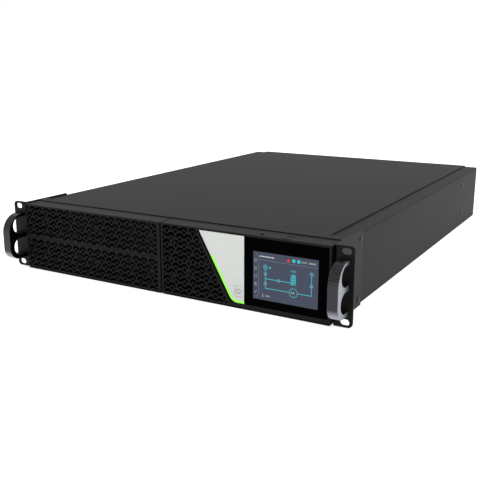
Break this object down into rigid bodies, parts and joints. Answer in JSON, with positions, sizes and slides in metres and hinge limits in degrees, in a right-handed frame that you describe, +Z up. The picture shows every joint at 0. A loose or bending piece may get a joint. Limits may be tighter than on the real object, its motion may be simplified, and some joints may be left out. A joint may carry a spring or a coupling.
{
  "type": "rack mount uninterruptible power supply",
  "caption": "Two-unit rack uninterruptible power supply with grille bezel, touch display, bow handles and a slide-out battery pack.",
  "frame": {"origin": "centre of the footprint, on the bottom face", "axes": "+X to the right seen from the front, -Y the front, +Z up"},
  "size_m": [0.4826, 0.666, 0.0881],
  "materials": {
    "case_paint": "fine-textured matt powder coat, charcoal grey",
    "ear_paint": "fine-textured matt powder coat, black",
    "zinc_sheet": "zinc-plated sheet, satin",
    "screw_black": "black oxide, satin",
    "screw_zinc": "bright zinc plate",
    "handle_metal": "satin grey-black anodised casting",
    "bezel_plastic": "fine-textured moulded plastic, charcoal",
    "accent_plastic": "satin light grey moulded plastic",
    "light_guide": "clear green light guide, lit",
    "button_plastic": "satin light grey moulded plastic",
    "black_glass": "polished black-printed cover glass",
    "screen": "lit liquid-crystal panel",
    "black_plastic": "moulded black plastic, satin",
    "grey_plastic": "moulded grey plastic",
    "battery_case": "moulded battery case, matt",
    "copper": "tinned copper strap",
    "circuit_board": "green solder mask",
    "heat_sink": "extruded, matt",
    "choke": "enamelled winding over a ferrite core",
    "capacitor": "sleeved electrolytic can",
    "relay": "blue relay case",
    "port_metal": "plated connector shell",
    "plug_green": "green terminal plug",
    "button_red": "moulded button"
  },
  "bodies": {
    "chassis": {"chassis_base": "case_paint", "top_cover": "case_paint", "rear_panel": "case_paint", "slot_cover": "case_paint", "left_ear": "ear_paint", "right_ear": "ear_paint", "left_handle": "handle_metal", "right_handle": "handle_metal", "front_frame": "ear_paint", "battery_bay_wall": "zinc_sheet", "emi_filter": "zinc_sheet", "side_screws": "screw_black", "handle_screws": "screw_black", "panel_screws": "screw_black", "main_bezel": "bezel_plastic", "accent_panel": "accent_plastic", "light_guide": "light_guide", "display_glass": "black_glass", "screen_panel": "screen", "display_housing": "black_plastic", "display_board": "circuit_board", "button_switch": "circuit_board", "control_board": "circuit_board", "power_board": "circuit_board", "bay_connector": "black_plastic", "heat_sinks": "heat_sink", "power_chokes": "choke", "bus_capacitors": "capacitor", "charger_transformer": "choke", "transfer_relays": "relay", "fan_1_frame": "black_plastic", "outlet_bank_1": "black_plastic", "fan_2_frame": "black_plastic", "outlet_bank_2": "black_plastic", "fan_guards": "screw_zinc", "mains_inlet": "black_plastic", "input_breaker": "black_plastic", "comm_ports": "port_metal", "epo_socket": "plug_green", "external_battery_socket": "grey_plastic", "ground_stud": "screw_zinc"},
    "battery_pack": {"battery_tray": "ear_paint", "battery_1": "battery_case", "battery_2": "battery_case", "battery_3": "battery_case", "battery_4": "battery_case", "battery_5": "battery_case", "battery_6": "battery_case", "battery_links": "copper", "pack_pull_handle": "black_plastic", "tray_thumbscrews": "screw_black", "pack_connector": "grey_plastic", "bezel_studs": "screw_black"},
    "battery_door": {"battery_bezel": "bezel_plastic"},
    "power_button": {"power_button": "button_plastic"},
    "release_tab": {"release_tab": "bezel_plastic"},
    "fan_1": {"fan_1_rotor": "black_plastic"},
    "fan_2": {"fan_2_rotor": "black_plastic"},
    "breaker_button": {"breaker_button": "button_red"},
    "epo_plug": {"epo_plug": "plug_green"}
  },
  "joints": [
    {"name": "battery_pack_slide", "type": "slide", "parent": "chassis", "child": "battery_pack", "axis": [0, -1, 0], "range_m": [0, 0.46]},
    {"name": "battery_door_pull", "type": "slide", "parent": "battery_pack", "child": "battery_door", "axis": [0, -1, 0], "range_m": [0, 0.04]},
    {"name": "power_button_press", "type": "slide", "parent": "chassis", "child": "power_button", "axis": [0, 1, 0], "range_m": [0, 0.0015], "stiffness_N_per_m": 900},
    {"name": "release_tab_press", "type": "slide", "parent": "chassis", "child": "release_tab", "axis": [0, 0, -1], "range_m": [0, 0.0015], "stiffness_N_per_m": 2000},
    {"name": "fan_1_spin", "type": "hinge", "parent": "chassis", "child": "fan_1", "pos_m": [0.172, 0.31, 0.0425], "axis": [0, 1, 0], "continuous": true},
    {"name": "fan_2_spin", "type": "hinge", "parent": "chassis", "child": "fan_2", "pos_m": [0.088, 0.31, 0.0425], "axis": [0, 1, 0], "continuous": true},
    {"name": "breaker_button_pop", "type": "slide", "parent": "chassis", "child": "breaker_button", "axis": [0, 1, 0], "range_m": [0, 0.003]},
    {"name": "epo_plug_pull", "type": "slide", "parent": "chassis", "child": "epo_plug", "axis": [0, 1, 0], "range_m": [0, 0.015]}
  ]
}
